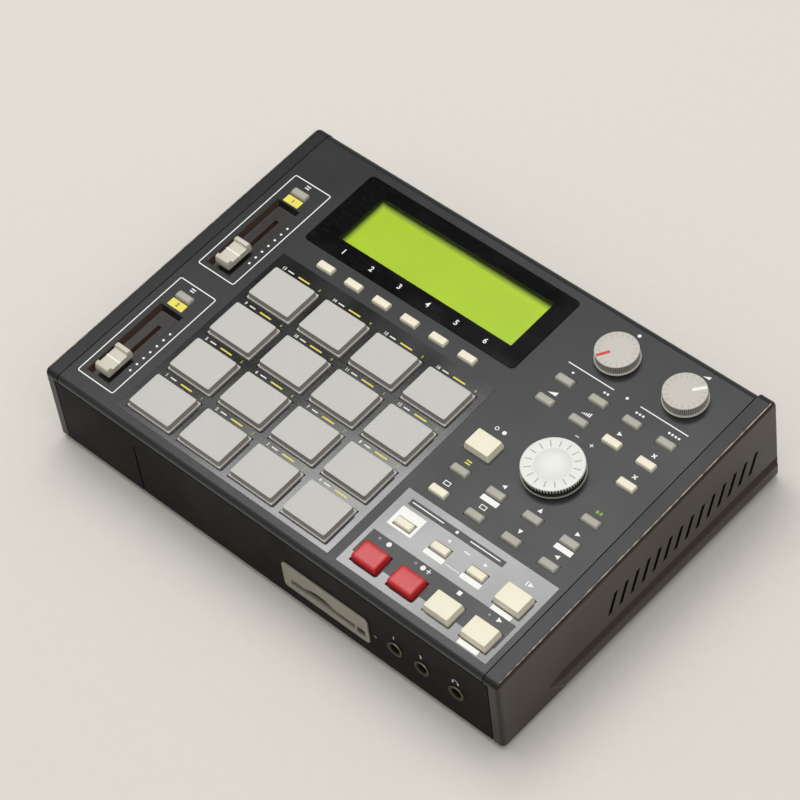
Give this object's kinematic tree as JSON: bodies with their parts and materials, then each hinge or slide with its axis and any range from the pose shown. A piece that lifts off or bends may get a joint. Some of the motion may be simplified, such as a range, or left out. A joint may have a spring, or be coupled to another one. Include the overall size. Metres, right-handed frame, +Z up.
{
  "type": "audio sampler",
  "caption": "Tabletop audio sampler: a low wedge case whose sloping panel carries rubber drum pads, a lit display, faders, knobs, a data dial and press keys.",
  "frame": {"origin": "on the table, under the middle of the case", "axes": "+X to the player's right, +Y to the rear, +Z up"},
  "size_m": [0.337, 0.2305, 0.076],
  "materials": {
    "panel_charcoal": "fine-grained charcoal plastic",
    "cheek_black": "satin black plastic",
    "face_black": "satin black plastic",
    "sheet_steel": "black powder-coated steel sheet",
    "display_glass": "clear window with a black printed border",
    "lcd": "lit yellow-green liquid crystal",
    "sensor_mat": "black silicone sheet",
    "board_green": "green circuit board",
    "bezel_silver": "warm silver-grey plastic",
    "socket_black": "black moulded plastic",
    "jack_brass": "dull nickel-brass ring on a black body",
    "control_steel": "pressed steel control body",
    "foot_rubber": "black rubber",
    "screw_steel": "zinc-plated steel",
    "pad_rubber": "warm grey rubber",
    "cream_key": "cream plastic",
    "grey_key": "grey plastic",
    "red_key": "red plastic",
    "fader_grey": "light grey plastic",
    "knob_grey": "light grey plastic",
    "dial_silver": "silver-painted plastic",
    "eject_black": "black plastic"
  },
  "bodies": {
    "case": {"top_panel": "panel_charcoal", "left_cheek": "cheek_black", "right_cheek": "cheek_black", "chassis_pan": "sheet_steel", "front_panel": "face_black", "rear_panel": "sheet_steel", "display_window": "display_glass", "display_module": "lcd", "pad_mat": "sensor_mat", "pad_board": "board_green", "key_board": "board_green", "main_board": "board_green", "power_supply": "board_green", "card_bezel": "bezel_silver", "card_reader": "socket_black", "audio_jacks": "jack_brass", "midi_sockets": "socket_black", "mains_inlet": "socket_black", "slide_pots": "control_steel", "rotary_controls": "control_steel", "feet": "foot_rubber", "case_screws": "screw_steel"},
    "pad_1": {"pad_1": "pad_rubber"},
    "pad_2": {"pad_2": "pad_rubber"},
    "pad_3": {"pad_3": "pad_rubber"},
    "pad_4": {"pad_4": "pad_rubber"},
    "pad_5": {"pad_5": "pad_rubber"},
    "pad_6": {"pad_6": "pad_rubber"},
    "pad_7": {"pad_7": "pad_rubber"},
    "pad_8": {"pad_8": "pad_rubber"},
    "pad_9": {"pad_9": "pad_rubber"},
    "pad_10": {"pad_10": "pad_rubber"},
    "pad_11": {"pad_11": "pad_rubber"},
    "pad_12": {"pad_12": "pad_rubber"},
    "pad_13": {"pad_13": "pad_rubber"},
    "pad_14": {"pad_14": "pad_rubber"},
    "pad_15": {"pad_15": "pad_rubber"},
    "pad_16": {"pad_16": "pad_rubber"},
    "function_keys": {"function_keys": "cream_key"},
    "after_keys": {"after_keys": "grey_key"},
    "bank_keys": {"bank_keys": "grey_key"},
    "level_keys": {"level_keys": "grey_key"},
    "edit_keys": {"edit_keys": "cream_key"},
    "mode_keys": {"mode_keys": "grey_key"},
    "cursor_keys": {"cursor_keys": "grey_key"},
    "page_keys": {"page_keys": "grey_key"},
    "locate_keys": {"locate_keys": "cream_key"},
    "tap_key": {"tap_key": "cream_key"},
    "play_start_key": {"play_start_key": "cream_key"},
    "rec_key": {"rec_key": "red_key"},
    "overdub_key": {"overdub_key": "red_key"},
    "stop_key": {"stop_key": "cream_key"},
    "play_key": {"play_key": "cream_key"},
    "upper_fader_cap": {"upper_fader_cap": "fader_grey"},
    "lower_fader_cap": {"lower_fader_cap": "fader_grey"},
    "gain_knob": {"gain_knob": "knob_grey"},
    "volume_knob": {"volume_knob": "knob_grey"},
    "data_dial": {"data_dial": "dial_silver"},
    "power_switch": {"power_switch": "socket_black"},
    "eject_button": {"eject_button": "eject_black"}
  },
  "joints": [
    {"name": "upper_fader_slide", "type": "slide", "parent": "case", "child": "upper_fader_cap", "axis": [0, 0.999, 0.0444], "range_m": [0, 0.03]},
    {"name": "lower_fader_slide", "type": "slide", "parent": "case", "child": "lower_fader_cap", "axis": [0, 0.999, 0.0444], "range_m": [0, 0.03]},
    {"name": "gain_knob_turn", "type": "hinge", "parent": "case", "child": "gain_knob", "pos_m": [0.0816, 0.085, 0.06828], "axis": [0, 0.0444, -0.999], "range_deg": [0, 300]},
    {"name": "volume_knob_turn", "type": "hinge", "parent": "case", "child": "volume_knob", "pos_m": [0.1283, 0.08531, 0.06829], "axis": [0, 0.0444, -0.999], "range_deg": [-188, 112]},
    {"name": "data_dial_turn", "type": "hinge", "parent": "case", "child": "data_dial", "pos_m": [0.1033, 0.00638, 0.06478], "axis": [0, 0.0444, -0.999], "continuous": true},
    {"name": "power_switch_rock", "type": "hinge", "parent": "case", "child": "power_switch", "pos_m": [-0.097, 0.1081, 0.032], "axis": [-1, 0, 0], "range_deg": [0, 20]},
    {"name": "eject_button_press", "type": "slide", "parent": "case", "child": "eject_button", "axis": [0, 1, 0], "range_m": [0, 0.003], "stiffness_N_per_m": 400},
    {"name": "tap_key_press", "type": "slide", "parent": "case", "child": "tap_key", "axis": [0, 0.0444, -0.999], "range_m": [0, 0.0009], "stiffness_N_per_m": 900},
    {"name": "play_start_key_press", "type": "slide", "parent": "case", "child": "play_start_key", "axis": [0, 0.0444, -0.999], "range_m": [0, 0.0009], "stiffness_N_per_m": 900},
    {"name": "rec_key_press", "type": "slide", "parent": "case", "child": "rec_key", "axis": [0, 0.0444, -0.999], "range_m": [0, 0.0009], "stiffness_N_per_m": 900},
    {"name": "overdub_key_press", "type": "slide", "parent": "case", "child": "overdub_key", "axis": [0, 0.0444, -0.999], "range_m": [0, 0.0009], "stiffness_N_per_m": 900},
    {"name": "stop_key_press", "type": "slide", "parent": "case", "child": "stop_key", "axis": [0, 0.0444, -0.999], "range_m": [0, 0.0009], "stiffness_N_per_m": 900},
    {"name": "play_key_press", "type": "slide", "parent": "case", "child": "play_key", "axis": [0, 0.0444, -0.999], "range_m": [0, 0.0009], "stiffness_N_per_m": 900},
    {"name": "function_keys_press", "type": "slide", "parent": "case", "child": "function_keys", "axis": [0, 0.0444, -0.999], "range_m": [0, 0.0008], "stiffness_N_per_m": 1500},
    {"name": "after_keys_press", "type": "slide", "parent": "case", "child": "after_keys", "axis": [0, 0.0444, -0.999], "range_m": [0, 0.0008], "stiffness_N_per_m": 1500},
    {"name": "bank_keys_press", "type": "slide", "parent": "case", "child": "bank_keys", "axis": [0, 0.0444, -0.999], "range_m": [0, 0.0008], "stiffness_N_per_m": 1500},
    {"name": "level_keys_press", "type": "slide", "parent": "case", "child": "level_keys", "axis": [0, 0.0444, -0.999], "range_m": [0, 0.0008], "stiffness_N_per_m": 1500},
    {"name": "edit_keys_press", "type": "slide", "parent": "case", "child": "edit_keys", "axis": [0, 0.0444, -0.999], "range_m": [0, 0.0008], "stiffness_N_per_m": 1500},
    {"name": "mode_keys_press", "type": "slide", "parent": "case", "child": "mode_keys", "axis": [0, 0.0444, -0.999], "range_m": [0, 0.0008], "stiffness_N_per_m": 1500},
    {"name": "cursor_keys_press", "type": "slide", "parent": "case", "child": "cursor_keys", "axis": [0, 0.0444, -0.999], "range_m": [0, 0.0008], "stiffness_N_per_m": 1500},
    {"name": "page_keys_press", "type": "slide", "parent": "case", "child": "page_keys", "axis": [0, 0.0444, -0.999], "range_m": [0, 0.0008], "stiffness_N_per_m": 1500},
    {"name": "locate_keys_press", "type": "slide", "parent": "case", "child": "locate_keys", "axis": [0, 0.0444, -0.999], "range_m": [0, 0.0008], "stiffness_N_per_m": 1500},
    {"name": "pad_1_press", "type": "slide", "parent": "case", "child": "pad_1", "axis": [0, 0.0444, -0.999], "range_m": [0, 0.001], "stiffness_N_per_m": 2000},
    {"name": "pad_2_press", "type": "slide", "parent": "case", "child": "pad_2", "axis": [0, 0.0444, -0.999], "range_m": [0, 0.001], "stiffness_N_per_m": 2000},
    {"name": "pad_3_press", "type": "slide", "parent": "case", "child": "pad_3", "axis": [0, 0.0444, -0.999], "range_m": [0, 0.001], "stiffness_N_per_m": 2000},
    {"name": "pad_4_press", "type": "slide", "parent": "case", "child": "pad_4", "axis": [0, 0.0444, -0.999], "range_m": [0, 0.001], "stiffness_N_per_m": 2000},
    {"name": "pad_5_press", "type": "slide", "parent": "case", "child": "pad_5", "axis": [0, 0.0444, -0.999], "range_m": [0, 0.001], "stiffness_N_per_m": 2000},
    {"name": "pad_6_press", "type": "slide", "parent": "case", "child": "pad_6", "axis": [0, 0.0444, -0.999], "range_m": [0, 0.001], "stiffness_N_per_m": 2000},
    {"name": "pad_7_press", "type": "slide", "parent": "case", "child": "pad_7", "axis": [0, 0.0444, -0.999], "range_m": [0, 0.001], "stiffness_N_per_m": 2000},
    {"name": "pad_8_press", "type": "slide", "parent": "case", "child": "pad_8", "axis": [0, 0.0444, -0.999], "range_m": [0, 0.001], "stiffness_N_per_m": 2000},
    {"name": "pad_9_press", "type": "slide", "parent": "case", "child": "pad_9", "axis": [0, 0.0444, -0.999], "range_m": [0, 0.001], "stiffness_N_per_m": 2000},
    {"name": "pad_10_press", "type": "slide", "parent": "case", "child": "pad_10", "axis": [0, 0.0444, -0.999], "range_m": [0, 0.001], "stiffness_N_per_m": 2000},
    {"name": "pad_11_press", "type": "slide", "parent": "case", "child": "pad_11", "axis": [0, 0.0444, -0.999], "range_m": [0, 0.001], "stiffness_N_per_m": 2000},
    {"name": "pad_12_press", "type": "slide", "parent": "case", "child": "pad_12", "axis": [0, 0.0444, -0.999], "range_m": [0, 0.001], "stiffness_N_per_m": 2000},
    {"name": "pad_13_press", "type": "slide", "parent": "case", "child": "pad_13", "axis": [0, 0.0444, -0.999], "range_m": [0, 0.001], "stiffness_N_per_m": 2000},
    {"name": "pad_14_press", "type": "slide", "parent": "case", "child": "pad_14", "axis": [0, 0.0444, -0.999], "range_m": [0, 0.001], "stiffness_N_per_m": 2000},
    {"name": "pad_15_press", "type": "slide", "parent": "case", "child": "pad_15", "axis": [0, 0.0444, -0.999], "range_m": [0, 0.001], "stiffness_N_per_m": 2000},
    {"name": "pad_16_press", "type": "slide", "parent": "case", "child": "pad_16", "axis": [0, 0.0444, -0.999], "range_m": [0, 0.001], "stiffness_N_per_m": 2000}
  ]
}
